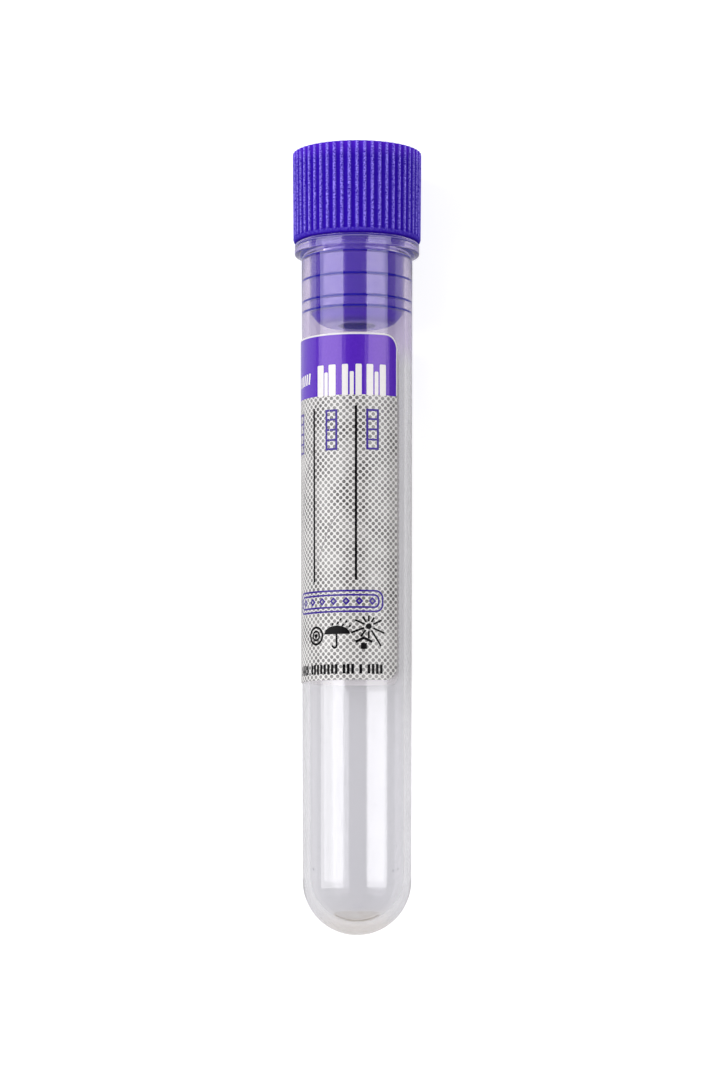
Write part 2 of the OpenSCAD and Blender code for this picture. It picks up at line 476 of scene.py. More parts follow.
@dataclass(frozen=True)
class ClearPolypropylene:
    """Injection-moulded clarified polypropylene: glossy, faintly milky, and greyer the deeper one looks."""

    colour: str = "F6F6F8"
    ior: float = 1.49
    roughness: float = 0.015
    density: float = 106.0
    depth: str = "D0CBCE"
    lets_through: str = "FAFAFB"
    haze: str = "D8D4D6"
    haze_amount: float = 0.055
    bore_share: float = 0.7
    bore_side: float = 5.5 * MM
    flow_marks: Point = (12.0, 900.0, 900.0)
    # Painted reflection of the violet stopper on the outside wall round the plug, in colour and in haze.
    painted_violet_reflection: str = "E5D8F0"
    painted_violet_haze: str = "B0A0E4"
    painted_reflection_from: float = 60.8 * MM
    painted_reflection_full: float = 64.2 * MM
    # Painted reflection: the collar is painted with more of the stopper's violet.
    collar_from: float = 6.15 * MM
    collar_painted_reflection: str = "E8DCFF"
    collar_haze: float = 0.07
    # Painted highlight lines: narrow bands of extra haze along the rim's edge and the collar's lower corner.
    upper_painted_highlight: Tuple[float, float] = (74.67 * MM, 0.05 * MM)
    lower_painted_highlight: Tuple[float, float] = (73.88 * MM, 0.04 * MM)
    lower_share: float = 0.5
    painted_highlight_haze: float = 0.7
    foot_from: float = 2.6 * MM
    foot_full: float = 0.7 * MM
    foot_haze: str = "EAD0A0"
    foot_cloud: float = 0.045

    def make(self) -> bpy.types.Material:
        """Builds the material.

        Returns:
            The material.
        """
        material, g = new_material("moulded_clear_polypropylene")
        # Flow marks of the moulding, about a millimetre apart round the wall and very long along it.
        stretched = g.add("Mapping", {"Vector": g.add("TexCoord", out="Object"), "Scale": self.flow_marks})
        marks = g.add("TexNoise", {"Vector": stretched, "Scale": 1.0, "Detail": 2.0})
        cloud = g.add("MapRange", (marks, 0.3, 0.7, 0.88 * self.haze_amount, 1.12 * self.haze_amount))
        # Painted reflection: round the plug the outside wall is painted with some of the stopper's violet, in its
        # colour and its haze.
        stood = upright(g)
        height = g.add("SeparateXYZ", (stood,), 2)
        near = g.add("MapRange", (height, self.painted_reflection_from, self.painted_reflection_full), interpolation_type="SMOOTHSTEP")
        # The outside is told from the bore by its distance from the axis, or from the centre of the round bottom.
        below = g.add("Math", (height, TUBE.base_r), operation="SUBTRACT")
        dip = g.add("Math", (below, 0.0), operation="MINIMUM")
        corner = g.add("CombineXYZ", {0: off_axis(g, stood), 2: dip})
        reach = g.add("VectorMath", (corner,), "Value", operation="LENGTH")
        outside = g.add("Math", (reach, self.bore_side), operation="GREATER_THAN")
        share = g.add("MapRange", (outside, 0.0, 1.0, self.bore_share, 1.0))
        cloudy = g.add("Math", (cloud, share), operation="MULTIPLY")
        painted_reflection = g.add("Math", (near, outside), operation="MULTIPLY")
        tint = g.add("Mix", {"Factor": painted_reflection, "A": self.colour, "B": self.painted_violet_reflection}, "Result", data_type="RGBA")
        # The collar stands under the stopper's head and gets more haze; two bands of it, along the rim's edge and the
        # collar's lower corner, are painted highlight lines.
        flange = g.add("Math", (off_axis(g, stood), self.collar_from), operation="GREATER_THAN")
        # Painted reflection: the collar is painted with more of the stopper's violet.
        tint = g.add("Mix", {"Factor": flange, "A": tint, "B": self.collar_painted_reflection}, "Result", data_type="RGBA")
        upper = g.add("Math", (height, *self.upper_painted_highlight), operation="COMPARE")
        lower = g.add("Math", (height, *self.lower_painted_highlight), operation="COMPARE")
        edges = g.add("Math", (lower, self.lower_share, upper), operation="MULTIPLY_ADD")
        painted_lines = g.add("Math", (edges, flange), operation="MULTIPLY")
        cloudy = g.add("Math", (flange, self.collar_haze, cloudy), operation="MULTIPLY_ADD")
        cloudy = g.add("Math", (painted_lines, self.painted_highlight_haze, cloudy), operation="MULTIPLY_ADD")
        # The thick foot, where the plastic was shot in, is warmer and a little cloudier than the rest.
        foot = g.add("MapRange", (height, self.foot_from, self.foot_full), interpolation_type="SMOOTHSTEP")
        cloudy = g.add("Math", (foot, self.foot_cloud, cloudy), operation="MULTIPLY_ADD")
        glass = g.add(
            "BsdfPrincipled",
            {"Base Color": tint, "Roughness": self.roughness, "IOR": self.ior, "Transmission Weight": 1.0},
        )
        hazy = g.add("Mix", {"Factor": near, "A": self.haze, "B": self.painted_violet_haze}, "Result", data_type="RGBA")
        hazy = g.add("Mix", {"Factor": foot, "A": hazy, "B": self.foot_haze}, "Result", data_type="RGBA")
        milk = g.add("BsdfTranslucent", {"Color": hazy})
        bloom = g.add("BsdfDiffuse", {"Color": hazy})
        body = g.add("MixShader", (cloudy, glass, g.add("MixShader", (0.5, milk, bloom))))
        # Light for the pieces inside and below passes straight through the wall.
        shadow = g.add("LightPath", out="Is Shadow Ray")
        soft = g.add("Math", (shadow, g.add("LightPath", out="Is Diffuse Ray")), operation="MAXIMUM")
        both = g.add("MixShader", (soft, body, g.add("BsdfTransparent", {"Color": self.lets_through})))
        depth = g.add("VolumeAbsorption", {"Color": self.depth, "Density": self.density})
        g.add("OutputMaterial", {"Surface": both, "Volume": depth})
        return material


class Moulding(Enum):
    """The five surfaces of the stopper's moulding."""

    GRAINED_HEAD = "spark_eroded_head"
    POLISHED_PLUG = "polished_plug"
    PAINTED_SHADE = "painted_shade"
    GATE_FACE = "gate_face"
    POLISHED_NOSE = "polished_nose"


@dataclass(frozen=True)
class VioletPolyethylene:
    """Injection-moulded low-density polyethylene, dyed violet: waxy, grained outside, polished on the plug."""

    surface: Moulding
    colour: str = "A290FF"
    deep: str = "2800A2"
    ior: float = 1.51
    roughness: float = 0.25
    specular: float = 0.03
    grain: float = 0.16 * MM
    grain_depth: float = 0.35
    grain_height: float = 0.03 * MM
    cloud: float = 3 * MM
    valley_roughness: float = 0.6
    # Painted highlight on the flutes' crests and painted shade in their valleys, broken by the grain.
    crest_in: float = 1.15
    crest_out: float = 0.1
    crest_power: float = 2.4
    band_share: float = 0.3
    crest_speckle: Tuple[float, float] = (3.4, -1.06)
    # Painted light: a paler valley colour near the head's top.
    rim: str = "4E1CC8"
    rim_h: float = 1.6 * MM

    def make(self) -> bpy.types.Material:
        """Builds the material.

        Returns:
            The material.
        """
        material, g = new_material("violet_polyethylene_" + self.surface.value)
        place = g.add("TexCoord", out="Object")
        grain = g.add("TexNoise", {"Vector": place, "Scale": 1 / self.grain, "Detail": 2.0})
        share = g.add("TexNoise", {"Vector": place, "Scale": 1 / self.cloud, "Detail": 3.0})
        gloss, deep = self.roughness, self.deep
        if self.surface is Moulding.GRAINED_HEAD:
            # Painted highlight and shade: the crests are painted paler, and the valleys and the band's lower edge
            # darker, by the distance from the axis and the height.
            stood = upright(g)
            up = g.add("SeparateXYZ", (stood,), 2)
            lean = HEAD.flare / HEAD.height
            spread = g.add("Math", (up, -lean, off_axis(g, stood)), operation="MULTIPLY_ADD")
            crest = TUBE.collar_r + HEAD.overhang - TUBE.length * lean
            inner, outer = crest - self.crest_in * HEAD.flute_r, crest + self.crest_out * HEAD.flute_r
            rise = g.add("Math", (g.add("MapRange", (spread, inner, outer)), self.crest_power), operation="POWER")
            band = TUBE.length + HEAD.band_h
            clear = g.add("MapRange", (up, band, band + HEAD.band_h, self.band_share))
            proud = g.add("Math", (rise, clear), operation="MULTIPLY")
            # Painted light: the valleys are painted paler towards the head's top.
            top = TUBE.length + HEAD.height
            painted_rim_light = g.add("MapRange", (up, top - self.rim_h, top))
            deep = g.add("Mix", {"Factor": painted_rim_light, "A": deep, "B": self.rim}, "Result", data_type="RGBA")
            speckle = g.add("Math", (grain, *self.crest_speckle), operation="MULTIPLY_ADD")
            share = g.add("Math", (proud, speckle), operation="MULTIPLY")
            gloss = g.add("MapRange", (proud, 0.0, 1.0, self.valley_roughness, self.roughness))
        mixed = g.add("Mix", {"Factor": share, "A": deep, "B": self.colour}, "Result", data_type="RGBA")
        surface = g.add(
            "BsdfPrincipled",
            {
                "Base Color": mixed,
                "Roughness": gloss,
                "IOR": self.ior,
                "Specular IOR Level": self.specular,
                "Normal": g.add("Bump", {"Height": grain, "Strength": self.grain_depth, "Distance": self.grain_height}),
            },
        )
        g.add("OutputMaterial", {"Surface": surface})
        return material


@dataclass(frozen=True)
class LabelPaper:
    """Coated label paper under a glossy varnish, with a printed lattice of fine grey dots below the header."""

    colour: str = "F7F5F4"
    soaked: str = "F6F4F2"
    ior: float = 1.5
    roughness: float = 0.22
    dot: str = "1A1819"
    pitch: float = 0.49
    dot_r: float = 0.2
    dot_solid: float = 0.13
    dot_fade: float = 0.25
    dotted_below: float = 30.6
    patch_scale: float = 0.35
    palest: float = 0.72
    varnish_lets_through: float = 0.3
    back_lets_through: float = 0.8
    # Painted light on the inside of the bare back near its lower edge.
    painted_light_full: float = 0.4
    painted_light_in: float = 1.5
    painted_light_share: float = 0.75

    def make(self) -> bpy.types.Material:
        """Builds the material. The label's own UV map and the sizes above are in millimetres.

        Returns:
            The material.
        """
        material, g = new_material("varnished_label_paper")
        flat = g.add("UVMap", uv_map="label_mm")
        lattice = {"Vector": flat, "Rotation": (0, 0, math.radians(45)), "Scale": (1 / self.pitch,) * 3}
        cell = g.add("VectorMath", (g.add("Mapping", lattice),), operation="FRACTION")
        centred = g.add("VectorMath", (cell, (0.5, 0.5, 0.0)), operation="SUBTRACT")
        level = g.add("VectorMath", (centred, (1, 1, 0)), operation="MULTIPLY")
        away = g.add("VectorMath", (level,), "Value", operation="LENGTH")
        # A dot about 0.3 mm across with a paler middle, as a printed ring reads.
        ring = g.add("Math", (away, self.dot_r), operation="SUBTRACT")
        off = g.add("Math", (ring,), operation="ABSOLUTE")
        ink = g.add("MapRange", (off, self.dot_solid, self.dot_fade, 1.0, 0.0))
        patches = g.add("TexNoise", {"Vector": flat, "Scale": self.patch_scale, "Detail": 1.0})
        strength = g.add("MapRange", (patches, 0.35, 0.65, self.palest, 1.0))
        amount = g.add("Math", (ink, strength), operation="MULTIPLY")
        height = g.add("SeparateXYZ", (flat,), 1)
        below = g.add("Math", (height, self.dotted_below), operation="LESS_THAN")
        dotted = g.add("Math", (amount, below), operation="MULTIPLY")
        printed = g.add("Mix", {"Factor": dotted, "A": self.colour, "B": self.dot}, "Result", data_type="RGBA")
        face = g.add("BsdfPrincipled", {"Base Color": printed, "Roughness": self.roughness, "IOR": self.ior})
        # The sheet is thin: light soaks through it, and more easily from its bare back than from its varnish.
        back = g.add("Math", (height, BACK_LIFT / 2), operation="GREATER_THAN")
        soaks = g.add("MapRange", (back, 0.0, 1.0, self.varnish_lets_through, self.back_lets_through))
        both = g.add("MixShader", (soaks, face, g.add("BsdfTranslucent", {"Color": self.soaked})))
        # Painted light: an extra diffuse layer lightens the inside of the bare back just above the sheet's lower edge.
        painted_light = g.add("MapRange", (height, BACK_LIFT + self.painted_light_full, BACK_LIFT + self.painted_light_in, 1.0, 0.0))
        inside = g.add("NewGeometry", out="Backfacing")
        open_back = g.add("Math", (back, inside), operation="GREATER_THAN")
        painted_light_behind = g.add("Math", (painted_light, open_back), operation="MULTIPLY")
        share = g.add("Math", (painted_light_behind, self.painted_light_share), operation="MULTIPLY")
        g.add("OutputMaterial", {"Surface": g.add("AddShader", (both, g.add("BsdfDiffuse", {"Color": share})))})
        return material


@dataclass(frozen=True)
class PrintedInk:
    """Flexographic ink under a satin varnish: flat colour with a slight paper mottle."""

    name: str
    colour: str
    mottle: str
    roughness: float = 0.22
    specular: float = 0.5
    sheen: str = "FFFFFF"
    ior: float = 1.5
    mottle_size: float = 0.25 * MM
    relief: float = 0.25
    relief_h: float = 0.02 * MM

    def make(self) -> bpy.types.Material:
        """Builds the material.

        Returns:
            The material.
        """
        material, g = new_material(self.name)
        place = g.add("TexCoord", out="Object")
        spots = g.add("TexNoise", {"Vector": place, "Scale": 1 / self.mottle_size, "Detail": 2.0})
        mixed = g.add("Mix", {"Factor": spots, "A": self.colour, "B": self.mottle}, "Result", data_type="RGBA")
        surface = g.add(
            "BsdfPrincipled",
            {
                "Base Color": mixed,
                "Roughness": self.roughness,
                "IOR": self.ior,
                "Specular IOR Level": self.specular,
                "Specular Tint": self.sheen,
                "Normal": g.add("Bump", {"Height": spots, "Strength": self.relief, "Distance": self.relief_h}),
            },
        )
        g.add("OutputMaterial", {"Surface": surface})
        return material


@dataclass(frozen=True)
class DriedAdditive:
    """Anticoagulant sprayed into the bowl and dried: a faint straw-coloured film, brown where it is thick."""

    name: str
    colour: str = "E2CC8C"
    amount: float = 0.1
    thinnest: float = 0.3
    cloud: float = 1.2 * MM
    ior: float = 1.45
    roughness: float = 0.5

    def make(self) -> bpy.types.Material:
        """Builds the material.

        Returns:
            The material.
        """
        material, g = new_material(self.name)
        place = g.add("TexCoord", out="Object")
        clouds = g.add("TexNoise", {"Vector": place, "Scale": 1 / self.cloud, "Detail": 3.0})
        amount = g.add("MapRange", (clouds, 0.3, 0.7, self.thinnest * self.amount, self.amount))
        clear = g.add("BsdfTransparent", {"Color": WHITE})
        film = g.add("BsdfPrincipled", {"Base Color": self.colour, "Roughness": self.roughness, "IOR": self.ior})
        g.add("OutputMaterial", {"Surface": g.add("MixShader", (amount, clear, film))})
        return material


@dataclass(frozen=True)
class ClearWater:
    """Condensed water: clear, smooth droplets."""

    colour: str = "F4F4F8"
    ior: float = 1.33
    roughness: float = 0.02

    def make(self) -> bpy.types.Material:
        """Builds the material.

        Returns:
            The material.
        """
        material, g = new_material("condensed_water")
        water = g.add(
            "BsdfPrincipled",
            {"Base Color": self.colour, "Roughness": self.roughness, "IOR": self.ior, "Transmission Weight": 1.0},
        )
        # The light that they would gather on the wall behind them is left even.
        shadow = g.add("LightPath", out="Is Shadow Ray")
        both = g.add("MixShader", (shadow, water, g.add("BsdfTransparent", {"Color": WHITE})))
        g.add("OutputMaterial", {"Surface": both})
        return material


# ---------------------------------------------------------------- the tube


@dataclass
class MouldedTube:
    """The clear tube: round bottom, tapering wall, collar, rim and bore in one closed shell."""

    size: TubeSize = TUBE
    steps: int = 288
    bowl_steps: int = 60
    wall_parts: int = 14
    root_fillet: float = 0.06 * MM
    rim_edge: float = 0.33 * MM
    mouth_edge: Tuple[float, float] = (0.04 * MM, 0.03 * MM)

    def build(self) -> bpy.types.Object:
        """Draws the wall's section, spins it and lays it down.

        Returns:
            The tube.
        """
        t = self.size
        under = t.length - t.collar_h
        s = Section("moulded_tube", 0, 0)
        s.turn(0, t.base_r, 90, self.bowl_steps)
        rise = (t.collar_r - t.wall_r(under)) * math.tan(t.collar_slope)
        turn = math.pi / 2 - t.collar_slope
        neck = self.root_fillet * math.tan(turn / 2)
        s.along(t.wall_r(under - neck), under - neck, self.wall_parts)
        s.turn(s.x + self.root_fillet, s.z, -math.degrees(turn), 4)
        corner = t.collar_edge * math.tan(turn / 2)
        s.to(t.collar_r - corner * math.cos(t.collar_slope), under + rise - corner * math.sin(t.collar_slope))
        s.turn(t.collar_r - t.collar_edge, under + rise + corner, math.degrees(turn), 8)
        s.to(t.collar_r, t.length - self.rim_edge)
        s.turn(t.collar_r - self.rim_edge, s.z, 90, 4)
        mouth = t.mouth_r - t.wall
        across, down = self.mouth_edge
        s.to(mouth + t.lead_in + across, t.length)
        s.to(mouth + t.lead_in, t.length - down)
        s.to(t.bore_r(t.length - t.lead_in), t.length - t.lead_in)
        s.along(t.bowl_r, t.bowl_z, self.wall_parts)
        s.turn(0, t.bowl_z, -90, self.bowl_steps)
        obj = s.spin(self.steps)
        smooth(obj, 40)
        lay_down(obj)
        obj.data.materials.append(ClearPolypropylene().make())
        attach(obj, "tube")
        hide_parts("tube")
        return obj


# ---------------------------------------------------------------- the stopper


@dataclass
class FlutedStopper:
    """The violet stopper: fluted head, root seat, plug with three lips, rounded nose, cored inside."""

    tube: TubeSize = TUBE
    head: HeadSize = HEAD
    plug_len: float = 9.1 * MM
    nose_h: float = 1.4 * MM
    nose_slope: float = math.radians(37)
    nose_edge: float = 1.8 * MM
    core_gap: float = 0.13 * MM
    lips: Tuple[float, ...] = (0.0, 1.15 * MM, 3.55 * MM)
    lip_w: float = 0.4 * MM
    lip_crest: float = 0.2 * MM
    lip_bite: float = 0.03 * MM
    dimple_r: float = 2.05 * MM
    dimple_d: float = 0.4 * MM
    gate_h: float = 0.05 * MM
    root_h: float = 1.7 * MM
    root_ring: Tuple[float, float] = (0.17 * MM, 0.25 * MM)
    fit: float = 0.03 * MM
    seat_gap: float = 0.015 * MM
    seat_ring: float = 0.06 * MM
    seat_edge: float = 0.03 * MM
    # Heights of the rings that follow the curve of each flute's foot, in millimetres above the rim.
    foot_rings: Tuple[float, ...] = (0.36, 0.39, 0.43, 0.47, 0.51, 0.55, 0.59, 0.63, 0.68, 0.74)
    foot_fillet: float = 0.05 * MM
    columns: int = 12
    top_in: float = 0.1 * MM
    cup_edge: float = 0.12 * MM
    cup_draft: float = 0.02 * MM
    cup_fillet: float = 0.4 * MM
    plug_wall: float = 1.3 * MM
    plug_floor: float = 1.3 * MM
    well_edge: float = 0.2 * MM
    well_fillet: float = 0.6 * MM
    well_draft: float = math.radians(1)

    @property
    def pitch(self) -> float:
        """The angle from one flute to the next."""
        return 2 * math.pi / self.head.flutes

    @property
    def lean(self) -> float:
        """Growth of the head's radius for each unit of height."""
        return self.head.flare / self.head.height

    @property
    def crest_r(self) -> float:
        """Radius of the flutes' crests at the rim."""
        return self.tube.collar_r + self.head.overhang

    @property
    def tip(self) -> float:
        """Height of the plug's end face."""
        return self.tube.length - self.plug_len

    def valley_r(self, up: float) -> float:
        """Radius of the valleys at a height above the rim."""
        return self.crest_r - self.head.flute_r + up * self.lean

    def flute_surface(self, aside: float, up: float) -> float:
        """Radius of the fluted wall.

        Args:
            aside: the distance from the middle of a flute, round the head.
            up: the height above the rim.

        Returns:
            The radius, with a small fillet where the flute meets the valley and the band's slope.
        """
        h = self.head
        below = max(0.0, h.band_h - up)
        rod = math.sqrt(max(0.0, h.flute_r**2 - below**2 - aside**2))
        band = h.flute_r - h.proud
        slope = max(0.0, min(band, band - (up - h.band_h)))
        k = self.foot_fillet
        gap = max(k - abs(rod - slope), 0.0) / k
        return self.valley_r(up) + max(rod, slope) + gap * gap * k / 4

    def draw_plug(self) -> Section:
        """Draws the plug's outside, from the gate dimple round the nose and over the lips to the rim.

        Returns:
            The section as far as the underside of the head.
        """
        t = self.tube
        nose_z = self.tip + self.nose_h
        nose_top = t.bore_r(nose_z) - self.core_gap
        tip_r = nose_top - self.nose_h * math.tan(self.nose_slope)
        tangent = self.nose_edge * math.tan((math.pi / 2 - self.nose_slope) / 2)
        s = Section("fluted_stopper", 0, self.tip + self.dimple_d)
        s.to(self.dimple_r - self.dimple_d / 2, s.z)
        s.to(self.dimple_r, self.tip)
        s.to(tip_r - tangent, self.tip)
        s.turn(s.x, self.tip + self.nose_edge, 90 - math.degrees(self.nose_slope), 10)
        low = nose_z - self.lip_w / 2
        s.to(nose_top - (nose_z - low) * math.tan(self.nose_slope), low)
        for lip in self.lips:
            z = nose_z + lip
            core = t.bore_r(z) - self.core_gap
            crest = t.bore_r(z) + self.lip_bite
            if lip > 0:
                s.to(core, z - self.lip_w / 2)
            s.to(crest, z - self.lip_crest / 2).to(crest, z + self.lip_crest / 2)
            s.to(core, z + self.lip_w / 2)
        root = t.length - self.root_h
        squeezed = t.bore_r(root) + self.lip_bite
        s.to(t.bore_r(root) - self.core_gap, root - self.core_gap)
        # The root is squeezed against the wall in a ring at its foot, and again in the rim's lead-in.
        s.to(squeezed, root).to(squeezed, root + self.root_ring[0])
        s.to(t.bore_r(root) - self.fit, root + self.root_ring[1])
        mouth = t.bore_r(t.length)
        s.to(mouth - self.fit, t.length - t.lead_in - self.seat_ring)
        s.to(mouth + self.lip_bite, t.length - t.lead_in)
        s.to(mouth + t.lead_in, t.length - self.seat_edge).to(mouth + t.lead_in, t.length + self.seat_gap)
        return s

    def draw_head(self, s: Section) -> None:
        """Draws the head's outside at its crests, from its underside to its top.

        Args:
            s: the section so far.
        """
        t, h = self.tube, self.head
        s.to(self.crest_r - h.proud - h.band_edge, t.length + self.seat_gap)
        s.turn(s.x, s.z + h.band_edge, 90, 7)
        for up in self.foot_rings:
            s.to(self.crest_r + up * MM * self.lean, t.length + up * MM)
        s.along(self.crest_r + h.flare * 0.99, t.length + h.height - h.top_edge, 5)
        s.turn(s.x - h.top_edge, s.z, 90, 4)

    def draw_core(self, s: Section) -> None:
        """Draws the open cup in the head and the well in the plug, down to the well's floor.

        Args:
            s: the section so far.
        """
        t, h = self.tube, self.head
        top, web = t.length + h.height, t.length + h.web
        cup_low = self.crest_r - h.flute_r - h.wall
        s.to(self.crest_r - h.flute_r - self.top_in, top)
        s.to(cup_low + h.flare + self.cup_edge, top).turn(s.x, top - self.cup_edge, 90, 3)
        s.to(cup_low + self.cup_draft, web + self.cup_fillet)
        s.turn(s.x - self.cup_fillet, s.z, -90, 4)
        floor_z = self.tip + self.plug_floor
        well = t.bore_r(t.length) - self.core_gap - self.plug_wall
        well_low = well - (web - floor_z) * math.tan(self.well_draft)
        s.to(well + self.well_edge, web).turn(s.x, web - self.well_edge, 90, 4)
        s.to(well_low, floor_z + self.well_fillet)
        s.turn(well_low - self.well_fillet, s.z, -90, 5)
        s.to(0, floor_z)

    def cut_flutes(self, obj: bpy.types.Object) -> None:
        """Draws the columns of one flute in to the rod's section, ring by ring.

        Args:
            obj: one sector of the stopper, with the flute's crest in its middle.
        """
        seat = self.tube.length
        near, least = 0.001 * MM, 0.0005 * MM
        outside = self.valley_r(0) - 0.2 * MM
        leave_edit()
        rings = sorted({round(v.co.z / MM, 4) for v in obj.data.vertices if v.co.z > seat + 0.2 * MM})
        edit(obj)
        for z in (ring * MM for ring in rings):
            bpy.ops.object.mode_set(mode="OBJECT")
            radii = sorted({round(v.co.xy.length / MM, 4) for v in obj.data.vertices if abs(v.co.z - z) < near})
            bpy.ops.object.mode_set(mode="EDIT")
            for base in (radius * MM for radius in radii if radius * MM >= outside):
                for column in range(self.columns // 2):
                    angle = self.pitch * (0.5 - column / self.columns)
                    target = min(base, self.flute_surface(base * math.sin(angle), z - seat))
                    if base - target < least:
                        continue
                    pick(
                        obj,
                        lambda p: abs(p.z - z) < near
                        and abs(p.xy.length - base) < near
                        and abs(abs(math.atan2(p.y, p.x) - self.pitch / 2) - angle) < 1e-4,
                    )
                    bpy.ops.transform.resize(value=(target / base, target / base, 1), center_override=(0, 0, z))
        leave_edit()

    def surface_at(self, at: Vector) -> Moulding:
        """Tells which surface of the moulding a face belongs to.

        Args:
            at: the face's centre, with the stopper upright.

        Returns:
            The surface.
        """
        off = at.xy.length
        if off > self.dimple_r and at.z < self.tip + self.gate_h:
            return Moulding.GATE_FACE
        # The gate dimple takes the lips' darker painted shade.
        if off < self.dimple_r and at.z < self.tip + self.plug_floor / 2:
            return Moulding.PAINTED_SHADE
        if off > self.dimple_r and at.z < self.tip + self.nose_h - self.lip_w / 2:
            return Moulding.POLISHED_NOSE
        if at.z >= self.tube.length:
            return Moulding.GRAINED_HEAD
        return Moulding.PAINTED_SHADE if off > self.tube.bore_r(at.z) else Moulding.POLISHED_PLUG

    def dress(self, obj: bpy.types.Object) -> None:
        """Gives the head its grain and its painted crest highlights and valley shade, the plug its polish, the gate
        face a paler painted reflection, and the lips and the gate dimple a darker painted shade.

        Args:
            obj: the stopper, still upright.
        """
        finishes = (
            VioletPolyethylene(Moulding.GRAINED_HEAD),
            VioletPolyethylene(
                Moulding.POLISHED_PLUG,
                "4410B0",
                "3406A2",
                roughness=0.16,
                specular=0.5,
                grain=0.5 * MM,
                grain_depth=0.08,
            ),
            # Painted shade: the lips and the gate dimple are given a darker, deeper violet with no reflection.
            VioletPolyethylene(Moulding.PAINTED_SHADE, "1000A4", "0C0096", specular=0.0),
            # Painted reflection: the flat gate face is given a paler violet.
            VioletPolyethylene(Moulding.GATE_FACE, "5C3CEA", "5030DE", specular=0.2),
            VioletPolyethylene(Moulding.POLISHED_NOSE, "4C0CC8", "4006BA", roughness=0.3, specular=0.05),
        )
        for finish in finishes:
            obj.data.materials.append(finish.make())
        surfaces = [finish.surface for finish in finishes]
        for face in obj.data.polygons:
            face.material_index = surfaces.index(self.surface_at(face.center))

    def build(self) -> bpy.types.Object:
        """Spins one sector, cuts its flute, and repeats it round the axis.

        Returns:
            The stopper.
        """
        section = self.draw_plug()
        self.draw_head(section)
        self.draw_core(section)
        obj = section.spin(self.columns, self.pitch)
        self.cut_flutes(obj)
        edit(obj)
        bpy.ops.mesh.spin(steps=self.head.flutes, angle=2 * math.pi, dupli=True, center=(0, 0, 0), axis=(0, 0, 1))
        close_shell()
        smooth(obj, 50)
        self.dress(obj)
        lay_down(obj, -self.pitch / 2)
        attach(obj, "stopper")
        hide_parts("stopper")
        return obj


# ---------------------------------------------------------------- the label and its print


@dataclass(frozen=True)
class LabelSize:
    """Sizes of the label and its place on the tube."""

    width: float = 30 * MM
    height: float = 37.2 * MM
    drop: float = 10.8 * MM
    edge_at: float = math.radians(45)
    thick: float = 0.1 * MM
    corner: float = 1.6 * MM
    glue: float = 0.02 * MM
    ink: float = 0.004 * MM

    @property
    def low(self) -> float:
        """Height of the label's lower edge."""
        return TUBE.length - self.drop - self.height

    @property
    def middle(self) -> Point:
        """Middle of the sheet's back, drawn flat."""
        return ((self.left + self.right) / 2, self.low + self.height / 2, self.glue)

    @property
    def radius(self) -> float:
        """Radius at the label's middle, by which it is wrapped."""
        return TUBE.wall_r(self.low + self.height / 2) + self.glue

    @property
    def right(self) -> float:
        """Distance of the free edge from the tube's front, round the wall."""
        return self.edge_at * self.radius

    @property
    def left(self) -> float:
        """Distance of the far edge from the tube's front, round the wall."""
        return self.right - self.width


LABEL = LabelSize()


def wrap(obj: bpy.types.Object) -> None:
    """Carries a flat sheet on to the tube's wall: x goes round it, y up it, and z out of it.

    Args:
        obj: the sheet, drawn flat with its print side up.
    """
    leave_edit()
    for v in obj.data.vertices:
        angle = math.pi + v.co.x / LABEL.radius
        r = TUBE.wall_r(v.co.y) + v.co.z
        v.co = (r * math.cos(angle), r * math.sin(angle), v.co.y)
    obj.data.update()


def cut_in_strips(obj: bpy.types.Object, step: float) -> None:
    """Bisects a flat sheet into strips that are narrow enough to wrap round the wall.

    Args:
        obj: the sheet.
        step: the strips' width.
    """
    leave_edit()
    xs = [v.co.x for v in obj.data.vertices]
    first, last = math.ceil(min(xs) / step), math.floor(max(xs) / step)
    edit(obj)
    for i in range(first, last + 1):
        bpy.ops.mesh.select_all(action="SELECT")
        bpy.ops.mesh.bisect(plane_co=(i * step, 0, 0), plane_no=(1, 0, 0))
    leave_edit()


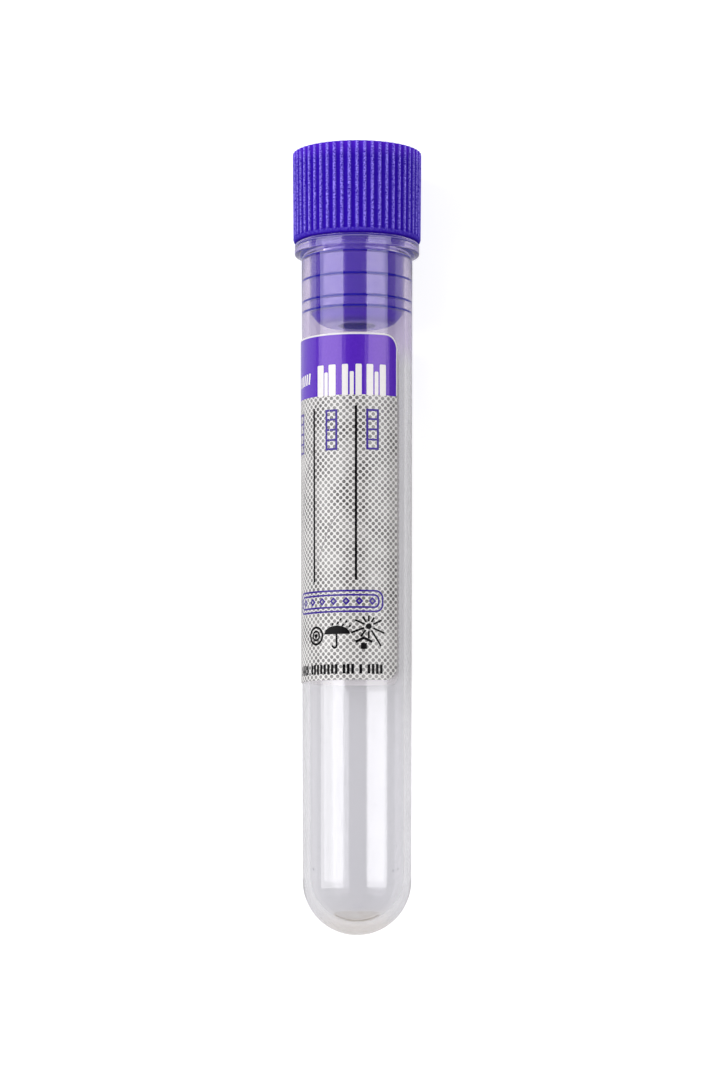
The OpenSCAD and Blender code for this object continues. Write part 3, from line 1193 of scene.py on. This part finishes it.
class PrintSheet:
    """A flat sheet of ink on which simple shapes are drawn before it is wrapped."""

    strip = 0.4 * MM

    def __init__(self, name: str, layer: int) -> None:
        """Starts an empty sheet.

        Args:
            name: the piece's name.
            layer: the ink's place in the order of printing, from 1.
        """
        self.lift = LABEL.glue + LABEL.thick + layer * LABEL.ink
        self.obj = new_piece(name, (0, LABEL.low, self.lift))
        edit(self.obj)
        bpy.ops.mesh.delete(type="VERT")

    def place(self, u: float, v: float) -> Point:
        """Gives the flat place of a point that is u round the wall and v up the label, in millimetres."""
        return (u * MM, LABEL.low + v * MM, self.lift)

    def box(self, u: float, v: float, w: float, h: float, turned: float = 0.0, round_r: float = 0.0) -> "PrintSheet":
        """Adds a box and leaves it selected.

        Args:
            u: its middle, round the wall from the front, in millimetres.
            v: its middle, up from the label's lower edge, in millimetres.
            w: its width in millimetres.
            h: its height in millimetres.
            turned: its turn, anticlockwise, in degrees.
            round_r: the radius of its corners in millimetres.

        Returns:
            The sheet.
        """
        bpy.ops.mesh.select_all(action="DESELECT")
        centre = self.place(u, v)
        bpy.ops.mesh.primitive_plane_add(size=MM, location=centre)
        bpy.ops.transform.resize(value=(w, h, 1), center_override=centre)
        if turned:
            # With no window the operator turns the other way.
            bpy.ops.transform.rotate(value=-math.radians(turned), orient_axis="Z", center_override=centre)
        if round_r:
            bpy.ops.mesh.bevel(offset=round_r * MM, segments=6, affect="VERTICES")
        return self

    def disc(self, u: float, v: float, r: float, sides: int = 32) -> "PrintSheet":
        """Adds a disc and leaves it selected.

        Args:
            u: its middle, round the wall from the front, in millimetres.
            v: its middle, up from the label's lower edge, in millimetres.
            r: its radius in millimetres.
            sides: its number of sides.

        Returns:
            The sheet.
        """
        bpy.ops.mesh.select_all(action="DESELECT")
        bpy.ops.mesh.primitive_circle_add(vertices=sides, radius=r * MM, fill_type="NGON", location=self.place(u, v))
        return self

    def outline(self, stroke: float) -> "PrintSheet":
        """Turns the shape just drawn into a line inside its edge.

        Args:
            stroke: the line's width in millimetres.

        Returns:
            The sheet.
        """
        bpy.ops.mesh.inset(thickness=stroke * MM)
        bpy.ops.mesh.delete(type="FACE")
        return self

    def bar(self, u0: float, v0: float, u1: float, v1: float, stroke: float) -> "PrintSheet":
        """Adds a straight bar between two points, in millimetres.

        Args:
            u0: first end, round the wall.
            v0: first end, up the label.
            u1: second end, round the wall.
            v1: second end, up the label.
            stroke: the bar's width.

        Returns:
            The sheet.
        """
        turn = math.degrees(math.atan2(v1 - v0, u1 - u0))
        return self.box((u0 + u1) / 2, (v0 + v1) / 2, math.hypot(u1 - u0, v1 - v0), stroke, turn)

    def finish(self, ink: PrintedInk) -> bpy.types.Object:
        """Cuts the sheet into strips, wraps it, lays it down and inks it.

        Args:
            ink: the ink.

        Returns:
            The piece.
        """
        cut_in_strips(self.obj, self.strip)
        wrap(self.obj)
        lay_down(self.obj)
        self.obj.data.materials.append(ink.make())
        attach(self.obj, "tube")
        return self.obj


@dataclass
class WrappedLabel:
    """The paper label and its generic print: fields of colour, lines, boxes and plain signs.

    The print's places and sizes are in millimetres, round the wall from the front and up from the label's lower edge.
    """

    size: LabelSize = LABEL
    strip: float = 0.3 * MM
    header_from: float = 30.5
    header_edge: float = 0.18
    fields_at: float = 26.75
    frame_at: Tuple[float, float] = (-2.6, 8.35)
    ring_at: Tuple[float, float] = (-4.82, 4.75)

    def sheet(self) -> bpy.types.Object:
        """Makes the paper: a flat sheet with round corners, given its thickness, then wrapped.

        Returns:
            The paper.
        """
        s = self.size
        obj = new_piece("label_paper", s.middle)
        edit(obj)
        bpy.ops.transform.resize(value=(s.width / SEED, s.height / SEED, 1), center_override=s.middle)
        bpy.ops.mesh.bevel(offset=s.corner, segments=8, affect="VERTICES")
        bpy.ops.mesh.extrude_region_move(TRANSFORM_OT_translate={"value": (0, 0, s.thick)})
        bpy.ops.mesh.select_all(action="SELECT")
        bpy.ops.mesh.normals_make_consistent(inside=False)
        cut_in_strips(obj, self.strip)
        flat = obj.data.uv_layers.new(name="label_mm")
        for face in obj.data.polygons:
            # The back of the paper is unprinted, so it is mapped above the dots.
            lift = BACK_LIFT if face.normal.z < -0.5 else 0.0
            for index in face.loop_indices:
                place = obj.data.vertices[obj.data.loops[index].vertex_index].co
                flat.data[index].uv = (place.x / MM, (place.y - s.low) / MM + lift)
        wrap(obj)
        smooth(obj, 30)
        lay_down(obj)
        obj.data.materials.append(LabelPaper().make())
        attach(obj, "tube")
        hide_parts("label")
        return obj

    def violet(self) -> bpy.types.Object:
        """Prints the violet header, just inside the paper's edges, with round upper corners.

        Returns:
            The violet ink.
        """
        s, low, edge = self.size, self.header_from, self.header_edge
        sheet = PrintSheet("violet_print", 1)
        left, right, top = s.left / MM, s.right / MM, s.height / MM - edge
        sheet.box((left + right) / 2, (low + top) / 2, right - left - 2 * edge, top - low)
        pick(sheet.obj, lambda p: p.y > s.low + (low + 1) * MM)
        bpy.ops.mesh.bevel(offset=s.corner - edge * MM, segments=8, affect="VERTICES")
        return sheet.finish(PrintedInk("violet_printed_ink", "4A1CAC", "5626B8", 0.2, 0.65, "FAD8FF"))

    def indigo(self) -> bpy.types.Object:
        """Prints the divided boxes of the three fields and the long framed bar with its row of diamonds.

        Returns:
            The indigo ink.
        """
        sheet = PrintSheet("indigo_print", 1)
        for u in (-7.9, -2.8, 1.66):
            sheet.box(u, self.fields_at, 1.4, 4.4).outline(0.24)
            for i in (1, 2, 3):
                sheet.box(u, self.fields_at + 2.2 - i * 1.1, 0.94, 0.22)
        middle, v = self.frame_at
        for wide, high, corner in ((11.0, 2.4, 0.9), (10.1, 1.5, 0.6)):
            sheet.box(middle, v, wide, high, 0, corner).outline(0.2)
        for i in range(7):
            sheet.box(-6.75 + i * 1.4, v, 0.62, 0.62, 45).outline(0.2)
        return sheet.finish(PrintedInk("indigo_printed_ink", "2A1078", "3C1C98", 0.3, 0.25))

    def white(self) -> bpy.types.Object:
        """Prints the white bars that stand on the header's lower edge, and the small pale ones beside them.

        Returns:
            The white ink.
        """
        sheet = PrintSheet("white_print", 2)
        for middle, wide in ((-3.42, 0.72), (-0.55, 0.55), (2.08, 0.62)):
            for aside in (-0.72, 0.72):
                sheet.box(middle + aside, 32.1, wide + 0.1, 3.4, 0, 0.12)
            sheet.box(middle, 31.7, 0.42, 2.6, 0, 0.12)
        for i in range(6):
            sheet.box(-8.4 + 0.5 * i, 32.35 + 0.04 * i, 0.3, 1.2, -8)
        return sheet.finish(PrintedInk("white_printed_ink", "E9E6E6", "DEDADA"))

    @staticmethod
    def canopy(sheet: PrintSheet, u: float, v: float) -> None:
        """Draws the plain canopy on its hooked stem, with short slanted drops over it.

        Args:
            sheet: the black sheet.
            u: the stem's place round the wall, in millimetres.
            v: the canopy's lower edge, in millimetres.
        """
        sheet.disc(u, v, 1.0, 40)
        bpy.ops.transform.resize(value=(1.46, 0.9, 1), center_override=sheet.place(u, v))
        bpy.ops.mesh.bisect(plane_co=sheet.place(0, v), plane_no=(0, 1, 0), clear_inner=True)
        sheet.bar(u, v, u, v - 1.3, 0.22).bar(u + 0.06, v - 1.32, u - 0.3, v - 1.5, 0.2)
        sheet.bar(u - 0.28, v - 1.5, u - 0.52, v - 1.2, 0.2)
        for du, dv in ((-0.45, 1.05), (0.15, 1.2), (0.45, 1.55), (0.7, 0.95), (1.05, 1.3), (1.45, 0.85)):
            sheet.bar(u + du - 0.08, v + dv - 0.12, u + du + 0.08, v + dv + 0.12, 0.19)

    @staticmethod
    def sun(sheet: PrintSheet, u: float, v: float) -> None:
        """Draws the plain sun over a roof and a small block.

        Args:
            sheet: the black sheet.
            u: the sun's place round the wall, in millimetres.
            v: its height, in millimetres.
        """
        sheet.disc(u, v, 0.31, 20)
        rays = (
            (90, 1.15), (58, 1.1), (25, 1.6), (-22, 1.9), (-57, 2.5),
            (-90, 1.3), (-128, 1.4), (-160, 2.0), (155, 1.6), (122, 1.2),
        )
        for degrees, reach in rays:
            x, y = math.cos(math.radians(degrees)), math.sin(math.radians(degrees))
            sheet.bar(u + 0.52 * x, v + 0.52 * y, u + reach * x, v + reach * y, 0.2)
        sheet.bar(u - 0.5, v - 1.22, u - 1.42, v - 1.66, 0.28).bar(u - 0.56, v - 1.22, u + 0.38, v - 1.66, 0.28)
        sheet.box(u - 0.52, v - 2.1, 0.64, 0.64)

    def black(self) -> bpy.types.Object:
        """Prints the two long rules, the plain signs and the row of short upright marks.

        Returns:
            The black ink.
        """
        sheet = PrintSheet("black_print", 3)
        sheet.box(-5.08, 19.85, 0.24, 18.7).box(-0.11, 19.95, 0.24, 18.7)
        sheet.disc(*self.ring_at, 1.02).outline(0.24)
        sheet.disc(*self.ring_at, 0.58).outline(0.2).disc(*self.ring_at, 0.22, 16)
        self.canopy(sheet, -2.2, 4.85)
        self.sun(sheet, 1.25, 5.66)
        u = -7.7
        for marks in (4, 8, 3, 1, 4):
            for i in range(marks):
                sheet.box(u, 1.14, 0.3, 1.05 if i % 3 else 0.98)
                u += 0.46
            u += 0.4
        return sheet.finish(PrintedInk("black_printed_ink", "08060A", "0E0C10", 0.35, 0.08))

    def hairlines(self) -> bpy.types.Object:
        """Prints two faint grey hairlines beside the rules, as handling leaves on a varnish.

        Returns:
            The grey ink.
        """
        sheet = PrintSheet("grey_print", 1)
        lines = (((-4.6, 12.6), (-3.0, 16.4), (-1.6, 18.2)), ((-8.0, 16.0), (-6.6, 22.0), (-5.1, 25.0)))
        for start, middle, end in lines:
            sheet.bar(*start, *middle, 0.09).bar(*middle, *end, 0.09)
        return sheet.finish(PrintedInk("grey_printed_ink", "8E8A8C", "9A9698"))

    def build(self) -> List[bpy.types.Object]:
        """Makes the paper and its print.

        Returns:
            The pieces.
        """
        return [self.sheet(), self.violet(), self.indigo(), self.hairlines(), self.white(), self.black()]


# ---------------------------------------------------------------- what lies in the tube


@dataclass
class BowlResidue:
    """The dried additive in the bowl, and the droplets on the wall."""

    tube: TubeSize = TUBE
    radius: float = 2.6 * MM
    off: float = 0.02 * MM
    thick: float = 0.05 * MM
    run_half: float = math.radians(29)
    run_lean: float = math.radians(8)
    run_r: float = 0.06 * MM
    droplets: int = 44
    # In millimetres: the lowest droplet and the reach of the rest above it, the smallest and what chance adds.
    droplet_z: Tuple[float, float] = (6.5, 26)
    droplet_r: Tuple[float, float] = (0.05, 0.11)
    # As shares of a droplet's radius: its least length and what chance adds, its height, and how deep it is sunk.
    droplet_long: Tuple[float, float] = (0.8, 0.5)
    droplet_high: float = 0.55
    droplet_sunk: float = 0.12
    seed: int = 11

    def film(self) -> bpy.types.Object:
        """Spins the thin film that covers the middle of the bowl.

        Returns:
            The film.
        """
        t = self.tube
        outer = t.bowl_r - self.off
        inner = outer - self.thick
        span = math.degrees(math.asin(self.radius / outer))
        s = Section("additive_film", 0, t.bowl_z - outer)
        s.turn(0, t.bowl_z, span, 10)
        edge = math.radians(span)
        s.to(inner * math.sin(edge), t.bowl_z - inner * math.cos(edge))
        s.turn(0, t.bowl_z, -span, 10)
        obj = s.spin(72)
        smooth(obj, 40)
        lay_down(obj)
        obj.data.materials.append(DriedAdditive("dried_additive_film").make())
        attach(obj, "tube")
        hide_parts("additive_film")
        return obj

    def run(self) -> bpy.types.Object:
        """Spins the fine brown line where the additive ran together and dried, low across the bowl.

        Returns:
            The line.
        """
        t = self.tube
        leave_edit()
        reach = t.bowl_r - self.off - self.thick - self.run_r
        bpy.ops.mesh.primitive_circle_add(
            vertices=8,
            radius=self.run_r,
            fill_type="NGON",
            location=(0, 0, t.bowl_z - reach),
            rotation=(math.pi / 2, 0, 0),
        )
        obj = adopt("additive_run")
        edit(obj)
        bpy.ops.mesh.spin(steps=28, angle=2 * self.run_half, center=(0, 0, t.bowl_z), axis=(1, 0, 0))
        close_shell()
        leave_edit()
        centre = Matrix.Translation((0, 0, t.bowl_z))
        turn = Matrix.Rotation(self.run_lean, 4, "Y") @ Matrix.Rotation(self.run_half, 4, "X")
        obj.matrix_world = centre @ turn @ centre.inverted()
        settle(obj)
        smooth(obj, 60)
        lay_down(obj)
        obj.data.materials.append(DriedAdditive("dried_additive_run", "6E4E08", 0.97).make())
        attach(obj, "tube")
        return obj

    def condensation(self) -> bpy.types.Object:
        """Models one low droplet and sets copies of it about the wall of the bore.

        Returns:
            The droplets, as one piece.
        """
        t = self.tube
        leave_edit()
        bpy.ops.mesh.primitive_uv_sphere_add(segments=12, ring_count=8, radius=1)
        first = adopt("droplets")
        edit(first)
        bpy.ops.mesh.bisect(plane_co=(0, 0, -0.2), plane_no=(0, 0, 1), use_fill=True, clear_inner=True)
        leave_edit()
        chance = random.Random(self.seed)
        copies = [first]
        for _ in range(self.droplets - 1):
            copy = first.copy()
            copy.data = first.data.copy()
            bpy.context.scene.collection.objects.link(copy)
            copies.append(copy)
        for copy in copies:
            z = (self.droplet_z[0] + self.droplet_z[1] * chance.random() ** 1.6) * MM
            angle = 2 * math.pi * chance.random()
            r = (self.droplet_r[0] + self.droplet_r[1] * chance.random() ** 2) * MM
            out = t.bore_r(z) - self.off - self.droplet_sunk * r
            inward = Matrix.Rotation(angle, 4, "Z") @ Matrix.Rotation(-math.pi / 2, 4, "Y")
            place = Matrix.Translation((out * math.cos(angle), out * math.sin(angle), z))
            long = self.droplet_long[0] + self.droplet_long[1] * chance.random()
            copy.matrix_world = place @ inward @ Matrix.Diagonal((r, r * long, self.droplet_high * r, 1))
        leave_edit()
        for copy in copies:
            copy.select_set(True)
        bpy.context.view_layer.objects.active = first
        bpy.ops.object.join()
        settle(first)
        edit(first)
        bpy.ops.mesh.normals_make_consistent(inside=False)
        smooth(first, 60)
        lay_down(first)
        first.data.materials.append(ClearWater().make())
        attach(first, "tube")
        return first

    def build(self) -> List[bpy.types.Object]:
        """Makes the film, its brown line and the droplets.

        Returns:
            The pieces.
        """
        return [self.film(), self.run(), self.condensation()]


# ---------------------------------------------------------------- light, floor and camera


@dataclass
class Studio:
    """A plain pale floor, two long softboxes, a strip that shows only in gloss, an even world and the camera.

    The world and the floor are white where the camera sees them, and dimmer in gloss and through the clear wall.
    """

    distance: float = 0.5
    strip_behind: float = 0.02
    lamp_ends: Tuple[float, float] = (-0.16, 0.30)
    radiance: float = 3.66
    level: float = 0.32
    mirrored: float = 0.06
    through: float = 0.75
    floor_size: float = 6.0
    floor_colour: str = "C6C6C8"
    floor_shown: float = 0.68
    floor_through: float = 0.33
    aim_z: float = 42.48 * MM
    aim_aside: float = 0.16 * MM
    camera_far: float = 0.3411
    camera_pitch: float = math.radians(6)
    lens: float = 105
    sensor: float = 36

    def axis(self) -> Tuple[Vector, Vector, Vector, Vector]:
        """Gives the tube's axis, its front, its right and the place aimed at, near the middle of its length.

        Returns:
            The four vectors, in the row frame.
        """
        m = REST.matrix
        along = (m.to_3x3() @ Vector((0, 0, 1))).normalized()
        front = (m.to_3x3() @ Vector((-1, 0, 0))).normalized()
        right = (m.to_3x3() @ Vector((0, -1, 0))).normalized()
        return along, front, right, m @ Vector((0, 0, self.aim_z))

    def softbox(self, name: str, from_deg: float, to_deg: float, share: float, mirrored_only: bool = False) -> None:
        """Hangs a rectangular lamp that spans two angles round the tube's axis.

        Args:
            name: the lamp's name.
            from_deg: the first edge, from the front towards the right.
            to_deg: the second edge.
            share: the lamp's share of the full radiance.
            mirrored_only: whether the lamp shows in gloss and lights nothing else; it hangs behind the other one.
        """
        low, high = self.lamp_ends
        away = self.distance + (self.strip_behind if mirrored_only else 0.0)
        along, front, right, middle = self.axis()
        mid = math.radians((from_deg + to_deg) / 2)
        half = math.radians(abs(to_deg - from_deg) / 2)
        towards = front * math.cos(mid) + right * math.sin(mid)
        data = bpy.data.lights.new(name, "AREA")
        data.shape = "RECTANGLE"
        data.size = 2 * away * math.tan(half)
        data.size_y = high - low
        data.energy = share * self.radiance * math.pi * data.size * data.size_y
        lamp = bpy.data.objects.new(name, data)
        bpy.context.scene.collection.objects.link(lamp)
        lamp.visible_camera = False
        lamp.visible_diffuse = not mirrored_only
        across = along.cross(towards).normalized()
        turn = Matrix((across, along, towards)).transposed().to_4x4()
        lamp.matrix_world = Matrix.Translation(middle + towards * away + along * (low + high) / 2) @ turn

    def floor(self) -> None:
        """Lays a wide pale floor that shows white and keeps the shadow."""
        leave_edit()
        bpy.ops.mesh.primitive_plane_add(size=self.floor_size, location=(0, 0, 0))
        floor = bpy.context.object
        floor.name = "pale_floor"
        material, g = new_material("pale_floor")
        glossy, through = (g.add("LightPath", out=ray) for ray in ("Is Glossy Ray", "Is Transmission Ray"))
        seen = g.add("Math", (glossy, through), operation="MAXIMUM")
        dim = g.add("Math", (seen, self.floor_through), operation="MULTIPLY")
        direct = g.add("LightPath", out="Is Camera Ray")
        shown = g.add("Math", (direct, self.floor_shown, dim), operation="MULTIPLY_ADD")
        glow = g.add("Emission", {"Color": WHITE, "Strength": shown})
        matt = g.add("BsdfDiffuse", {"Color": self.floor_colour})
        g.add("OutputMaterial", {"Surface": g.add("AddShader", (glow, matt))})
        floor.data.materials.append(material)

    def world(self) -> None:
        """Gives an even, plain light and a white surround."""
        world = bpy.data.worlds.new("studio")
        bpy.context.scene.world = world
        world.use_nodes = True
        g = Graph(world.node_tree)
        strength = self.level
        steps = (("Is Glossy Ray", self.mirrored), ("Is Transmission Ray", self.through), ("Is Camera Ray", 1.0))
        for ray, level in steps:
            strength = g.add("MapRange", (g.add("LightPath", out=ray), 0.0, 1.0, strength, level))
        g.add("OutputWorld", {"Surface": g.add("Background", {"Color": WHITE, "Strength": strength})})

    def camera(self) -> None:
        """Sets the camera above the tube, nearer to its round bottom and looking a little towards the stopper."""
        along, front, right, middle = self.axis()
        pitch = self.camera_pitch
        back = front * math.cos(pitch) - along * math.sin(pitch)
        up = along * math.cos(pitch) + front * math.sin(pitch)
        data = bpy.data.cameras.new("camera")
        data.lens = self.lens
        data.sensor_width = self.sensor
        camera = bpy.data.objects.new("camera", data)
        bpy.context.scene.collection.objects.link(camera)
        turn = Matrix((right, up, back)).transposed().to_4x4()
        place = middle + back * self.camera_far + right * self.aim_aside
        camera.matrix_world = Matrix.Translation(place) @ turn
        bpy.context.scene.camera = camera

    def build(self) -> None:
        """Sets up the camera, the lamps, the world and the floor."""
        bpy.context.scene.view_settings.view_transform = "Standard"
        self.camera()
        self.softbox("softbox_left", -82, -29, 1.0)
        self.softbox("softbox_right", 20.5, 66, 0.6)
        self.softbox("strip_right", 20.5, 66, 0.4, mirrored_only=True)
        self.world()
        self.floor()


def main() -> None:
    """Builds the object in order and reports each piece."""
    logging.basicConfig(level=logging.INFO, format="%(name)s: %(message)s")
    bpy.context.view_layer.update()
    Studio().build()
    pieces = [FlutedStopper().build(), *WrappedLabel().build(), MouldedTube().build(), *BowlResidue().build()]
    for piece in pieces:
        log.info("%s: %d faces", piece.name, len(piece.data.polygons))


if __name__ == "__main__":
    main()
